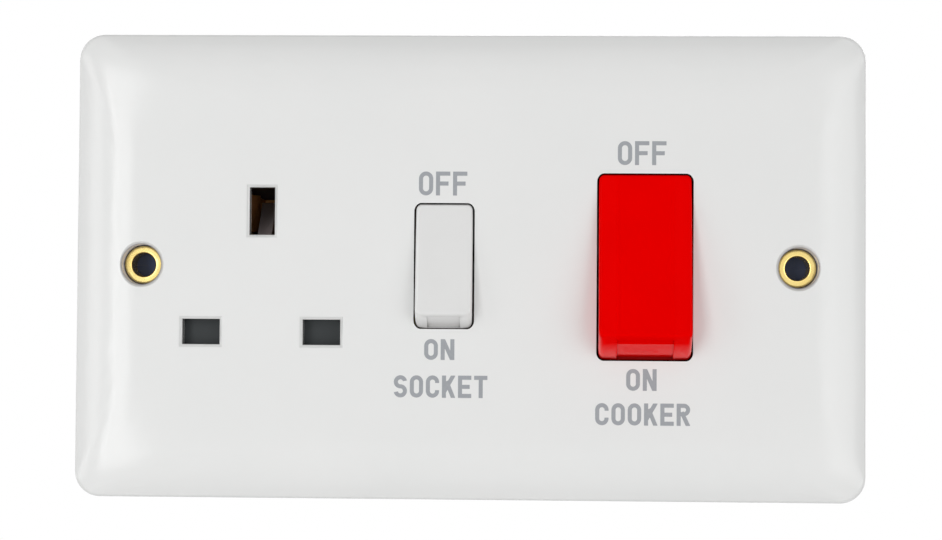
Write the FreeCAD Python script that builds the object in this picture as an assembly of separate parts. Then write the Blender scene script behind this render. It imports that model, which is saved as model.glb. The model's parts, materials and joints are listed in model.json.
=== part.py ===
import FreeCAD, Part
import math
import os

# Cooker control unit: a double-gang moulded plate with a switched three-pin socket and a double-pole switch.
# Millimetres. X to the right, Y into the wall, Z up. Y = 0 is the plate's rear rim, and the origin lies midway
# between the two fixing holes.

V = FreeCAD.Vector

# Front plate
PLATE_WIDTH = 146.0
PLATE_HEIGHT = 86.0
PLATE_DEPTH = 9.0
PLATE_CORNER = 4.7
FRONT_WALL = 2.8
RIM_WALL = 2.4
ROLL_WIDTH = 12.0
ROLL_RADIUS = 20.0
ROLL_CORNER_GROWTH = 0.55
RIM_FILLET = 1.2

# Fixing holes
FIXING_INSET = 12.7
FIXING_BORE = 4.4
EYELET_WALL = 0.4
EYELET_FLANGE = 7.0
EYELET_CROWN = 0.7
EYELET_ROUND = 0.35
EYELET_FLARE = 0.6
COUNTERBORE = 7.4
COUNTERBORE_MOUTH = 8.5
COUNTERBORE_DEPTH = 3.6
FIXING_BOSS = 10.0

# Three-pin socket
SOCKET_INSET = 35.0
PIN_LINE_Z = -12.3
PIN_SPREAD = 22.23
PIN_RISE = 22.23
SLOT_WIDE = 6.9
SLOT_NARROW = 4.65
EARTH_SLOT_HIGH = 8.75
SLOT_BEVEL = 0.6
JAW_SHEET = 0.9
JAW_GRIP = 3.5
JAW_MOUTH = 6.0
JAW_LEAD = 3.0
JAW_WAIST_EASE = 0.4
POWER_JAW_WIDTH = 6.6
EARTH_JAW_WIDTH = 7.0
POWER_JAW_BEHIND = 0.5
EARTH_JAW_BEHIND = 2.5

# Shutter behind the pin slots
SHUTTER_THICK = 2.5
SHUTTER_REACH = 15.4
SHUTTER_PAD_HIGH = 7.2
SHUTTER_TRAVEL = 6.0
SHUTTER_STEM = 6.0
SHUTTER_RAMP_WIDE = 2.6
SHUTTER_RAMP_BACK = 1.2
SHUTTER_RAMP_SET = 0.9
SHUTTER_RAMP_LIP = 0.3
SHUTTER_RAMP_OVER = 0.6
SHUTTER_RAMP_ROOT = 4.0
SHUTTER_STEM_SHY = 0.4
SHUTTER_REST_HALF = 2.0
RAIL_WIDE = 1.4
RAIL_END = 1.0

# Rockers
SOCKET_SWITCH_X = -4.4
COOKER_SWITCH_X = 32.3
ROCKER_SHELL = 1.6
ROCKER_FACE_WALL = 2.0
ROCKER_CORNER = 1.0
ROCKER_EDGE = 0.6
ROCKER_SKIRT = 1.2
RECESS_DEPTH = 0.35
RECESS_SINK = 0.6
RECESS_LOW_MARGIN = 1.5
RECESS_HIGH_MARGIN = 3.5
TRUNNION = 3.0
TRUNNION_LENGTH = 2.35
EAR_RADIUS = 3.2
CHEEK_WALL = 2.4
CHEEK_HALF = 4.2
CHEEK_BEHIND = 2.2

# Switch gear
PLUNGER = 3.0
TUBE_WALL = 1.0
WIRE = 0.5
SPRING_TURNS = 4
ARM_SHEET = 1.2
ARM_WIDTH = 5.0
ARM_LENGTH = 10.0
KNUCKLE = 2.2
TIP_DIAMETER = 3.6
TIP_THICK = 1.0
TIP_FROM_END = 2.2
STRIP = 1.2
STRIP_WIDTH = 6.0
STRIP_MARGIN = 0.6
FULCRUM_HALF = 2.2
FULCRUM_CUP = 0.8

# Cooker terminals
POLE_OFFSET = 4.5
TERMINAL_OFFSET = 7.2
TERMINAL_WIDTH = 9.6
TERMINAL_HIGH = 9.2
TERMINAL_DEEP = 12.0
TERMINAL_BORE = 6.5
TERMINAL_BORE_FRONT = 1.1
TERMINAL_INNER_Z = 17.6
CLAMP_SCREW = 4.0
CLAMP_HEAD = 5.6
CLAMP_HEAD_HIGH = 2.0
CLAMP_HEAD_RISE = 0.5
SCREW_SLOT_WIDE = 0.9
SCREW_SLOT_DEEP = 0.9

# Earth strap and terminal
STRAP = 0.8
STRAP_LEG = 8.0
STRAP_EAR_TOP = 16.0
EARTH_TERMINAL_X = 12.6
EARTH_TERMINAL_WIDTH = 10.8
EARTH_TERMINAL_HIGH = 11.0
EARTH_TERMINAL_DEEP = 9.4
EARTH_TERMINAL_TOP = -15.0
EARTH_BORE = 4.4
EARTH_BORE_SPREAD = 5.5
EARTH_BORE_FRONT = 1.3
EARTH_SCREW = 3.0
EARTH_SCREW_HEAD = 4.2

# Link strips
LINK = 1.0
LINE_LINK_Z = 18.4
LINE_LINK_HIGH = 3.0
NEUTRAL_LINK_Z = 22.8
NEUTRAL_LINK_HIGH = 3.0
NEUTRAL_LINK_AHEAD = 2.7
NEUTRAL_LEG_SHIFT = 0.4
NEUTRAL_LEG_HALF = 2.0
LINE_LINK_STEP = 1.5

# Rear base
BASE_SIDE = 4.8
BASE_RIGHT = 47.0
BASE_HALF_HEIGHT = 28.4
BASE_WALL = 1.8
BASE_FLOOR = 2.2
BASE_ROUND = 1.0
FIELD_LEFT = -43.0
FIELD_RIGHT = 1.0
FIELD_HALF = 9.0
FIELD_DEEP = 0.4
EJECTOR_MARK = 4.0
EJECTOR_DEEP = 0.2
EJECTOR_PLACES = ((-49.0, 22.0), (-49.0, -22.0), (-1.0, 22.0), (-1.0, -22.0), (12.6, 22.0), (12.6, 0.0))
SOCKET_BAY_RIGHT = 5.2
ROCKER_BAY_END = 1.4
ROCKER_BAY_BEHIND = 4.0
ROCKER_BAY_SIDE = 0.8
GEAR_BAY_INSET = 0.4
TERMINAL_WEB = 1.2
RIB_MARGIN = 1.0
WALL_BOX_LUG = 7.5
BASE_SCREW = 2.4
BASE_SCREW_HEAD = 5.2
BASE_SCREW_HEAD_HIGH = 1.8
BASE_SCREW_SHY = 0.6
BASE_LUG = 5.4
BASE_LUG_THICK = 3.0
BASE_LUG_X = (-46.0, 38.0)
BASE_LUG_Z = 31.2

# Clearances
STRAP_RIM_GAP = 0.7
STRAP_LUG_GAP = 1.0
APERTURE_GAP = 0.35
ROCKER_SIDE_GAP = 0.35
BEARING_GAP = 0.05
PLUNGER_GAP = 0.06
TIP_REST_GAP = 0.35
CONTACT_GAP = 0.1
KNUCKLE_GAP = 0.05
SEAT_GAP = 0.1
SLIDE_GAP = 0.2
SCREW_GAP = 0.05

# How far a fused piece is sunk in its neighbour, and how far a cutter runs past a face
SUNK = 0.5
PAST = 1.0

# Places and levels that follow
FIXING_PITCH = PLATE_WIDTH - 2 * FIXING_INSET
SOCKET_X = -PLATE_WIDTH / 2 + SOCKET_INSET
BASE_LEFT = -FIXING_PITCH / 2 + BASE_SIDE
STRAP_RUN_LOW_Z = -(PLATE_HEIGHT / 2 - RIM_WALL - STRAP_RIM_GAP)
STRAP_RUN_TOP_Z = -(BASE_LUG_Z + BASE_LUG / 2 + STRAP_LUG_GAP)
FACE_Y = -PLATE_DEPTH
WALL_Y = FACE_Y + FRONT_WALL
EARTH_SLOT_Z = PIN_LINE_Z + PIN_RISE
NEUTRAL_X = SOCKET_X - PIN_SPREAD / 2
LINE_X = SOCKET_X + PIN_SPREAD / 2
SEAT_Y = FACE_Y + COUNTERBORE_DEPTH
STRAP_REAR_Y = -EYELET_FLARE
STRAP_FRONT_Y = STRAP_REAR_Y - STRAP
SHUTTER_FRONT_Y = WALL_Y + SLIDE_GAP
SHUTTER_REAR_Y = SHUTTER_FRONT_Y + SHUTTER_THICK
FIXED_LOW_Z = ARM_LENGTH - TIP_FROM_END - TIP_DIAMETER / 2 - STRIP_MARGIN
SIDES = (-1, 1)


def box(x0, x1, y0, y1, z0, z1):
    return Part.makeBox(x1 - x0, y1 - y0, z1 - z0, V(x0, y0, z0))


def rod(diameter, start, end):
    return Part.makeCylinder(diameter / 2, (end - start).Length, start, end - start)


def prism_along_x(points, x0, x1):
    ring = [V(x0, y, z) for y, z in points]
    return Part.Face(Part.makePolygon(ring + ring[:1])).extrude(V(x1 - x0, 0, 0))


def prism_along_z(points, z0, z1):
    ring = [V(x, y, z0) for x, y in points]
    return Part.Face(Part.makePolygon(ring + ring[:1])).extrude(V(0, 0, z1 - z0))


def joined(first, *others):
    return first.fuse(list(others)).removeSplitter()


def turned(shape, axis_point, degrees):
    copy = shape.copy()
    copy.rotate(axis_point, V(1, 0, 0), degrees)
    return copy


# Plan outline of the plate at one level: straight sides and four round corners
def plate_outline(inset, y):
    half_x = PLATE_WIDTH / 2 - inset
    half_z = PLATE_HEIGHT / 2 - inset
    radius = PLATE_CORNER + ROLL_CORNER_GROWTH * inset

    def corner(quarter, turn):
        angle = math.radians(90 * quarter + turn)
        side_x = 1 if quarter in (0, 3) else -1
        side_z = 1 if quarter in (0, 1) else -1
        x = side_x * (half_x - radius) + radius * math.cos(angle)
        z = side_z * (half_z - radius) + radius * math.sin(angle)
        return V(x, y, z)

    edges = []
    for quarter in range(4):
        arc = Part.Arc(corner(quarter, 0), corner(quarter, 45), corner(quarter, 90))
        edges.append(arc.toShape())
        edges.append(Part.LineSegment(corner(quarter, 90), corner((quarter + 1) % 4, 0)).toShape())
    return Part.Wire(edges)


# Pillow form: a flat front, a wide rolled margin, a small rim fillet and an upright rim
def pillow(rim_inset, front_y, roll_radius, rear_y):
    flat_run = ROLL_WIDTH - rim_inset - RIM_FILLET
    centre_y = front_y + roll_radius - math.sqrt((roll_radius - RIM_FILLET) ** 2 - flat_run ** 2)
    meeting = math.asin(flat_run / (roll_radius - RIM_FILLET))

    def on_roll(angle):
        return plate_outline(ROLL_WIDTH - roll_radius * math.sin(angle),
                             front_y + roll_radius * (1 - math.cos(angle)))

    def on_fillet(angle):
        return plate_outline(rim_inset + RIM_FILLET * (1 - math.sin(angle)),
                             centre_y - RIM_FILLET * math.cos(angle))

    roll_steps = 6
    fillet_steps = 3
    roll = [on_roll(meeting * (1 - step / roll_steps)) for step in range(roll_steps + 1)]
    fillet_turn = math.pi / 2 - meeting
    fillet = [on_fillet(math.pi / 2 - fillet_turn * step / fillet_steps) for step in range(fillet_steps + 1)]
    rim = Part.Face(plate_outline(rim_inset, rear_y)).extrude(V(0, centre_y - rear_y, 0))
    return joined(rim, Part.makeLoft(fillet, True, False), Part.makeLoft(roll, True, False))


# Through slot with a bevelled frame at the face
def slot_cut(x, z, wide, high):
    def frame(grow, y):
        half_x = wide / 2 + grow
        half_z = high / 2 + grow
        ring = [V(x - half_x, y, z - half_z), V(x + half_x, y, z - half_z),
                V(x + half_x, y, z + half_z), V(x - half_x, y, z + half_z)]
        return Part.makePolygon(ring + ring[:1])

    through = box(x - wide / 2, x + wide / 2, FACE_Y - PAST, WALL_Y + PAST, z - high / 2, z + high / 2)
    frames = [frame(2 * SLOT_BEVEL, FACE_Y - SLOT_BEVEL), frame(0, FACE_Y + SLOT_BEVEL)]
    bevel = Part.makeLoft(frames, True, True)
    return through.fuse(bevel)


PIN_SLOTS = (
    (NEUTRAL_X, PIN_LINE_Z, SLOT_WIDE, SLOT_NARROW),
    (LINE_X, PIN_LINE_Z, SLOT_WIDE, SLOT_NARROW),
    (SOCKET_X, EARTH_SLOT_Z, SLOT_NARROW, EARTH_SLOT_HIGH),
)


# One rocker switch: the sizes of its rocker and where its gear stands
class Switch:
    def __init__(self, x, width, pivot_depth, tilt, crease_height, end_radius, recess_half, poles,
                 fulcrum_depth, arm_tilt, tube_back, plunger_back):
        self.x = x
        self.width = width
        self.tilt = tilt
        self.crease_height = crease_height
        self.end_radius = end_radius
        self.recess_half = recess_half
        self.poles = poles
        self.arm_tilt = arm_tilt
        self.tube_back = tube_back
        self.plunger_back = plunger_back
        self.pivot_depth = pivot_depth
        self.pivot = V(x, FACE_Y + pivot_depth, 0)
        self.fulcrum = V(x, FACE_Y + pivot_depth + fulcrum_depth, 0)
        self.aperture_half = width / 2 + ROCKER_SIDE_GAP
        reach = fulcrum_depth - ARM_SHEET - PLUNGER / 2 - TIP_REST_GAP
        self.tip_distance = reach / math.cos(math.radians(tilt))
        self.strip_y = self.fulcrum.y + 2 * TIP_THICK + CONTACT_GAP
        self.strip_rear_y = self.strip_y + STRIP

    # Side view of the rocker: a flat face and end faces that are arcs about the pivot
    def end_arc_body(self, radius, height, half_width, rear):
        half = math.sqrt(radius ** 2 - height ** 2)
        rear_half = math.sqrt(radius ** 2 - rear ** 2)
        middle = (math.asin(height / radius) + math.asin(rear / radius)) / 2
        mid_y = -radius * math.sin(middle)
        mid_z = radius * math.cos(middle)
        x0 = self.x - half_width
        y0 = self.pivot.y

        def at(y, z):
            return V(x0, y0 + y, z)

        edges = [Part.LineSegment(at(-height, -half), at(-height, half)).toShape(),
                 Part.Arc(at(-height, half), at(mid_y, mid_z), at(-rear, rear_half)).toShape(),
                 Part.LineSegment(at(-rear, rear_half), at(-rear, -rear_half)).toShape(),
                 Part.Arc(at(-rear, -rear_half), at(mid_y, -mid_z), at(-height, -half)).toShape()]
        return Part.Face(Part.Wire(edges)).extrude(V(2 * half_width, 0, 0))

    # The opening that the rocker swings in, wider behind than at the face
    def aperture(self):
        grown = self.end_radius + APERTURE_GAP
        rear = self.pivot_depth - FRONT_WALL - PAST
        body = self.end_arc_body(grown, self.pivot_depth + PAST, self.aperture_half, rear)
        return rounded_corners(body, ROCKER_CORNER + APERTURE_GAP)

    # Middle position, pivot on the switch's own axis
    def rocker(self):
        half = self.width / 2
        face_y = self.pivot.y - self.crease_height
        body = self.end_arc_body(self.end_radius, self.crease_height, half, ROCKER_SKIRT)
        body = rounded_corners(body, ROCKER_CORNER)
        rim = [edge for edge in body.Edges if all(abs(p.Point.y - face_y) < 1e-4 for p in edge.Vertexes)]
        body = body.makeFillet(ROCKER_EDGE, rim)
        inner_radius = self.end_radius - ROCKER_SHELL
        inner_height = self.crease_height - ROCKER_FACE_WALL
        body = body.cut(self.end_arc_body(inner_radius, inner_height, half - ROCKER_SHELL, ROCKER_SKIRT - 2))
        adds = []
        for side in SIDES:
            outer = self.x + side * half
            inner = outer - side * ROCKER_SHELL
            x0, x1 = sorted((outer, inner))
            adds.append(box(x0, x1, face_y + ROCKER_FACE_WALL - SUNK, self.pivot.y, -EAR_RADIUS, EAR_RADIUS))
            adds.append(rod(2 * EAR_RADIUS, V(x0, self.pivot.y, 0), V(x1, self.pivot.y, 0)))
            end = outer + side * TRUNNION_LENGTH
            adds.append(rod(TRUNNION, V(inner, self.pivot.y, 0), V(end, self.pivot.y, 0)))
        for offset in self.poles:
            start = V(self.x + offset, face_y + ROCKER_FACE_WALL - SUNK, 0)
            adds.append(rod(self.bore() + 2 * TUBE_WALL, start, V(start.x, self.pivot.y + self.tube_back, 0)))
        body = body.fuse(adds).removeSplitter()
        for offset in self.poles:
            x = self.x + offset
            bottom = V(x, self.spring_seat_y(), 0)
            body = body.cut(rod(self.bore(), bottom, V(x, self.pivot.y + self.tube_back + PAST, 0)))
        for side in SIDES:
            body = body.cut(self.recess(side))
        return body

    # Shallow window in an end face, for the state flag
    def recess(self, side):
        low = math.asin((self.pivot_depth - RECESS_SINK) / self.end_radius)
        low = low - math.radians(self.tilt - RECESS_LOW_MARGIN)
        high = math.asin(self.crease_height / self.end_radius) - math.radians(RECESS_HIGH_MARGIN)
        start = V(self.x - self.recess_half, self.pivot.y, 0)
        end = V(self.x + self.recess_half, self.pivot.y, 0)
        ring = rod(2 * (self.end_radius + PAST), start, end)
        ring = ring.cut(rod(2 * (self.end_radius - RECESS_DEPTH), start, end))
        far = 2 * self.end_radius
        points = [(self.pivot.y, 0)]
        for angle in (low, high):
            points.append((self.pivot.y - far * math.sin(angle), side * far * math.cos(angle)))
        return ring.common(prism_along_x(points, self.x - self.recess_half, self.x + self.recess_half))

    def bore(self):
        return PLUNGER + 2 * PLUNGER_GAP

    def spring_seat_y(self):
        return self.pivot.y - self.crease_height + ROCKER_FACE_WALL

    def plunger_inner_y(self):
        return self.pivot.y + self.plunger_back

    # Round pin with a domed nose
    def plunger(self, offset):
        start = V(self.x + offset, self.plunger_inner_y(), 0)
        nose = V(self.x + offset, self.pivot.y + self.tip_distance, 0)
        return joined(rod(PLUNGER, start, nose), Part.makeSphere(PLUNGER / 2, nose))

    def spring(self, offset):
        centre = V(self.x + offset, self.spring_seat_y(), 0)
        length = self.plunger_inner_y() - self.spring_seat_y()
        return coil(centre, V(0, 1, 0), length, PLUNGER / 2 - WIRE / 2 - PLUNGER_GAP)

    # Brass see-saw strip, bent to a shallow V, with a round knuckle behind the bend. Middle position.
    def arm(self, offset):
        lean = math.radians(self.arm_tilt)
        x0 = self.x + offset - ARM_WIDTH / 2
        half = []
        for along, out in ((0, 0), (ARM_LENGTH, 0), (ARM_LENGTH, ARM_SHEET)):
            y = self.fulcrum.y - along * math.sin(lean) - out * math.cos(lean)
            half.append((y, along * math.cos(lean) - out * math.sin(lean)))
        front = (self.fulcrum.y - ARM_SHEET / math.cos(lean), 0)
        points = half + [front] + [(y, -z) for y, z in half[:0:-1]]
        strip = prism_along_x(points, x0, x0 + ARM_WIDTH)
        knuckle = rod(KNUCKLE, V(x0, self.fulcrum.y, 0), V(x0 + ARM_WIDTH, self.fulcrum.y, 0))
        return joined(strip, knuckle)

    def moving_tip(self, offset):
        along = ARM_LENGTH - TIP_FROM_END
        start = V(self.x + offset, self.fulcrum.y, along)
        tip = rod(TIP_DIAMETER, start, start + V(0, TIP_THICK, 0))
        return turned(tip, self.fulcrum, self.arm_tilt)

    def fixed_tip(self, offset):
        end = V(self.x + offset, self.strip_y, ARM_LENGTH - TIP_FROM_END)
        return rod(TIP_DIAMETER, end - V(0, TIP_THICK, 0), end)

    # Post with a groove that the arm's knuckle rocks in
    def fulcrum_post(self, offset):
        x0 = self.x + offset - ARM_WIDTH / 2
        lip = KNUCKLE / 2 - FULCRUM_CUP
        post = box(x0, x0 + ARM_WIDTH, self.fulcrum.y + lip, self.strip_y, -FULCRUM_HALF, FULCRUM_HALF)
        end = V(x0 + ARM_WIDTH, self.fulcrum.y, 0)
        return post.cut(rod(KNUCKLE + 2 * KNUCKLE_GAP, V(x0, self.fulcrum.y, 0), end))

    # Two cheeks behind the plate with U-shaped bearings, open to the rear
    def cheeks(self):
        shapes = []
        for side in SIDES:
            x0, x1 = self.cheek_span(side)
            rear = self.pivot.y + CHEEK_BEHIND
            cheek = box(x0, x1, WALL_Y - SUNK, rear, -CHEEK_HALF, CHEEK_HALF)
            half = TRUNNION / 2 + BEARING_GAP
            groove = rod(2 * half, V(x0, self.pivot.y, 0), V(x1, self.pivot.y, 0))
            way = box(x0, x1, self.pivot.y, rear + PAST, -half, half)
            shapes.append(cheek.cut(groove.fuse(way)))
        return shapes

    def cheek_span(self, side):
        inner = self.x + side * self.aperture_half
        return sorted((inner, inner + side * CHEEK_WALL))

    # Stubs that close the bearings from behind
    def keepers(self, floor_y):
        shapes = []
        for side in SIDES:
            x0, x1 = self.cheek_span(side)
            half = TRUNNION / 2 - SEAT_GAP
            shapes.append(box(x0, x1, self.pivot.y + TRUNNION / 2 + SEAT_GAP, floor_y, -half, half))
        return shapes

    def at_rest(self, shape):
        return turned(shape, self.pivot, -self.tilt)

    def arm_at_rest(self, shape):
        return turned(shape, self.fulcrum, self.arm_tilt)


# Round the four upright corners where the end arcs meet the flat sides
def rounded_corners(body, radius):
    arcs = [edge for edge in body.Edges if isinstance(edge.Curve, Part.Circle)]
    return body.makeFillet(radius, arcs)


# Compression spring of six-sided wire from a start point along an axis
def coil(start, axis, length, mean_radius):
    height = length - WIRE
    helix = Part.Wire(Part.makeHelix(height / SPRING_TURNS, height, mean_radius).Edges)
    sides = 6
    ring = []
    for step in range(sides):
        angle = 2 * math.pi * step / sides
        ring.append(V(mean_radius + WIRE / 2 * math.cos(angle), 0, WIRE / 2 * math.sin(angle)))
    wire = helix.makePipeShell([Part.makePolygon(ring + ring[:1])], True, True)
    spring = Part.Solid(wire) if wire.ShapeType == "Shell" else wire
    spring.Placement = FreeCAD.Placement(start + axis * (WIRE / 2), FreeCAD.Rotation(V(0, 0, 1), axis))
    return spring


SOCKET_SWITCH = Switch(x=SOCKET_SWITCH_X, width=10.4, pivot_depth=6.7, tilt=8.0, crease_height=8.3,
                       end_radius=13.0, recess_half=3.0, poles=(0.0,), fulcrum_depth=10.0, arm_tilt=8.0,
                       tube_back=3.6, plunger_back=0.6)
COOKER_SWITCH = Switch(x=COOKER_SWITCH_X, width=16.9, pivot_depth=9.0, tilt=10.0, crease_height=11.9,
                       end_radius=19.0, recess_half=5.1, poles=(-POLE_OFFSET, POLE_OFFSET), fulcrum_depth=12.0,
                       arm_tilt=8.5, tube_back=5.0, plunger_back=1.0)
SWITCHES = (SOCKET_SWITCH, COOKER_SWITCH)

# Floors and terminal places that follow from the switch gear
FLOOR_Y = COOKER_SWITCH.strip_rear_y
BASE_REAR_Y = FLOOR_Y + BASE_FLOOR
TERMINAL_REAR_Y = BASE_REAR_Y
TERMINAL_FRONT_Y = TERMINAL_REAR_Y - TERMINAL_DEEP
TERMINAL_OUTER_Z = TERMINAL_INNER_Z + TERMINAL_HIGH
TERMINAL_BORE_Y = TERMINAL_FRONT_Y + TERMINAL_BORE_FRONT + TERMINAL_BORE / 2
LINK_REAR_Y = TERMINAL_FRONT_Y
LINK_FRONT_Y = LINK_REAR_Y - LINK
NEUTRAL_RUN_REAR_Y = LINK_FRONT_Y - NEUTRAL_LINK_AHEAD + LINK
NEUTRAL_RUN_FRONT_Y = NEUTRAL_RUN_REAR_Y - LINK
POWER_WEB_Y = SOCKET_SWITCH.strip_y
ROCKER_BAY_HALF = COOKER_SWITCH.end_radius + ROCKER_BAY_END
ROCKER_BAY_Y = COOKER_SWITCH.pivot.y + ROCKER_BAY_BEHIND
ROCKER_BAY_X = COOKER_SWITCH.aperture_half + CHEEK_WALL + ROCKER_BAY_SIDE
GEAR_BAY_X = COOKER_SWITCH.aperture_half - GEAR_BAY_INSET
GEAR_BAY_HALF = TERMINAL_INNER_Z - TERMINAL_WEB
NEUTRAL_LEG_X = NEUTRAL_X + NEUTRAL_LEG_SHIFT


# Front plate with its slots, apertures, counterbores, bosses and bearings
def front_plate():
    shell = pillow(0, FACE_Y, ROLL_RADIUS, 0)
    shell = shell.cut(pillow(RIM_WALL, WALL_Y, ROLL_RADIUS - FRONT_WALL, PAST))
    adds = []
    for side in SIDES:
        x = side * FIXING_PITCH / 2
        adds.append(rod(FIXING_BOSS, V(x, FACE_Y + FRONT_WALL / 2, 0), V(x, STRAP_FRONT_Y, 0)))
        rail = SHUTTER_STEM / 2 + SLIDE_GAP
        x0, x1 = sorted((SOCKET_X + side * rail, SOCKET_X + side * (rail + RAIL_WIDE)))
        adds.append(box(x0, x1, WALL_Y - SUNK, SHUTTER_REAR_Y, PIN_LINE_Z + SHUTTER_PAD_HIGH / 2 + RAIL_END,
                        EARTH_SLOT_Z - EARTH_SLOT_HIGH / 2 - RAIL_END))
    for x, z in base_screw_places():
        adds.append(rod(BASE_LUG, V(x, FACE_Y + FRONT_WALL / 2, z), V(x, STRAP_FRONT_Y, z)))
    for switch in SWITCHES:
        adds.extend(switch.cheeks())
    shell = shell.fuse(adds).removeSplitter()
    cuts = [slot_cut(*slot) for slot in PIN_SLOTS]
    cuts.extend(switch.aperture() for switch in SWITCHES)
    mouth = (COUNTERBORE_MOUTH - COUNTERBORE) / 2
    for side in SIDES:
        x = side * FIXING_PITCH / 2
        cuts.append(rod(COUNTERBORE, V(x, FACE_Y - PAST, 0), V(x, SEAT_Y, 0)))
        cuts.append(Part.makeCone(COUNTERBORE_MOUTH / 2 + mouth, COUNTERBORE / 2, 2 * mouth,
                                  V(x, FACE_Y - mouth, 0), V(0, 1, 0)))
        cuts.append(rod(FIXING_BORE + 2 * EYELET_WALL + 2 * SCREW_GAP, V(x, FACE_Y, 0), V(x, PAST, 0)))
    for x, z in base_screw_places():
        cuts.append(rod(BASE_SCREW + 2 * SCREW_GAP, V(x, WALL_Y + BASE_SCREW_SHY - SEAT_GAP, z), V(x, PAST, z)))
    return shell.cut(cuts[0].fuse(cuts[1:]))


# Rolled brass eyelet: a rounded flange at the counterbore's floor and a flare behind the strap
def eyelet(side):
    x = side * FIXING_PITCH / 2
    bore = FIXING_BORE / 2
    tube = bore + EYELET_WALL
    flange = EYELET_FLANGE / 2
    crown_y = SEAT_Y - EYELET_CROWN
    shoulder_y = crown_y + EYELET_ROUND
    corner = EYELET_ROUND * (1 - math.sqrt(0.5))

    def at(radius, y):
        return V(x + radius, y, 0)

    edges = [
        Part.LineSegment(at(bore, 0), at(bore, shoulder_y)).toShape(),
        Part.Arc(at(bore, shoulder_y), at(bore + corner, crown_y + corner),
                 at(bore + EYELET_ROUND, crown_y)).toShape(),
        Part.LineSegment(at(bore + EYELET_ROUND, crown_y), at(flange - EYELET_ROUND, crown_y)).toShape(),
        Part.Arc(at(flange - EYELET_ROUND, crown_y), at(flange - corner, crown_y + corner),
                 at(flange, shoulder_y)).toShape(),
        Part.LineSegment(at(flange, shoulder_y), at(flange, SEAT_Y)).toShape(),
        Part.LineSegment(at(flange, SEAT_Y), at(tube, SEAT_Y)).toShape(),
        Part.LineSegment(at(tube, SEAT_Y), at(tube, STRAP_REAR_Y)).toShape(),
        Part.LineSegment(at(tube, STRAP_REAR_Y), at(flange, STRAP_REAR_Y)).toShape(),
        Part.LineSegment(at(flange, STRAP_REAR_Y), at(flange, 0)).toShape(),
        Part.LineSegment(at(flange, 0), at(bore, 0)).toShape(),
    ]
    return Part.Face(Part.Wire(edges)).revolve(V(x, 0, 0), V(0, 1, 0), 360)


# Flat U-shaped strap that joins both eyelets, with an ear for the socket's earth and a tongue for the terminal
def earth_strap():
    half = FIXING_PITCH / 2
    leg = STRAP_LEG / 2
    y0, y1 = STRAP_FRONT_Y, STRAP_REAR_Y
    strap = joined(
        box(-half - leg, half + leg, y0, y1, STRAP_RUN_LOW_Z, STRAP_RUN_TOP_Z),
        box(-half - leg, -half + leg, y0, y1, STRAP_RUN_LOW_Z, STRAP_EAR_TOP),
        box(half - leg, half + leg, y0, y1, STRAP_RUN_LOW_Z, leg),
        box(EARTH_TERMINAL_X - EARTH_TERMINAL_WIDTH / 2, EARTH_TERMINAL_X + EARTH_TERMINAL_WIDTH / 2, y0, y1,
            STRAP_RUN_LOW_Z, EARTH_TERMINAL_TOP))
    hole = FIXING_BORE + 2 * EYELET_WALL + 2 * SCREW_GAP
    for side in SIDES:
        strap = strap.cut(rod(hole, V(side * half, y0 - PAST, 0), V(side * half, y1 + PAST, 0)))
    return strap


# Brass block with round conductor ways along Z and clamp screws from the rear
def terminal_block(x, width, front_y, rear_y, z0, z1, bore, bore_xs, bore_y, screw):
    block = box(x - width / 2, x + width / 2, front_y, rear_y, z0, z1)
    middle = (z0 + z1) / 2
    for bore_x in bore_xs:
        block = block.cut(rod(bore, V(bore_x, bore_y, z0 - PAST), V(bore_x, bore_y, z1 + PAST)))
        screw_end = V(bore_x, rear_y + PAST, middle)
        block = block.cut(rod(screw + 2 * SCREW_GAP, V(bore_x, bore_y, middle), screw_end))
    return block


# Slotted cheese-head screw along Y with its tip at tip_y
def slotted_screw(x, z, tip_y, under_head_y, shank, head, head_high):
    top = under_head_y + head_high
    neck = V(x, under_head_y, z)
    screw = joined(rod(shank, V(x, tip_y, z), neck), rod(head, neck, V(x, top, z)))
    half = SCREW_SLOT_WIDE / 2
    return screw.cut(box(x - head, x + head, top - SCREW_SLOT_DEEP, top + PAST, z - half, z + half))


def cooker_terminal(side_x, side_z):
    x = COOKER_SWITCH_X + side_x * TERMINAL_OFFSET
    z0, z1 = sorted((side_z * TERMINAL_INNER_Z, side_z * TERMINAL_OUTER_Z))
    return terminal_block(x, TERMINAL_WIDTH, TERMINAL_FRONT_Y, TERMINAL_REAR_Y, z0, z1, TERMINAL_BORE, (x,),
                          TERMINAL_BORE_Y, CLAMP_SCREW)


def cooker_terminal_screws():
    screws = []
    middle = (TERMINAL_INNER_Z + TERMINAL_OUTER_Z) / 2
    tip_y = TERMINAL_BORE_Y + TERMINAL_BORE / 2 + SEAT_GAP
    under_head_y = TERMINAL_REAR_Y + CLAMP_HEAD_RISE
    for side_x in SIDES:
        for side_z in SIDES:
            x = COOKER_SWITCH_X + side_x * TERMINAL_OFFSET
            screws.append(slotted_screw(x, side_z * middle, tip_y, under_head_y, CLAMP_SCREW, CLAMP_HEAD,
                                        CLAMP_HEAD_HIGH))
    return Part.makeCompound(screws)


def earth_bores():
    return [EARTH_TERMINAL_X + side * EARTH_BORE_SPREAD / 2 for side in SIDES]


def earth_bore_y():
    return STRAP_REAR_Y + EARTH_BORE_FRONT + EARTH_BORE / 2


def earth_terminal():
    low = EARTH_TERMINAL_TOP - EARTH_TERMINAL_HIGH
    rear_y = STRAP_REAR_Y + EARTH_TERMINAL_DEEP
    return terminal_block(EARTH_TERMINAL_X, EARTH_TERMINAL_WIDTH, STRAP_REAR_Y, rear_y, low, EARTH_TERMINAL_TOP,
                          EARTH_BORE, earth_bores(), earth_bore_y(), EARTH_SCREW)


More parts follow.
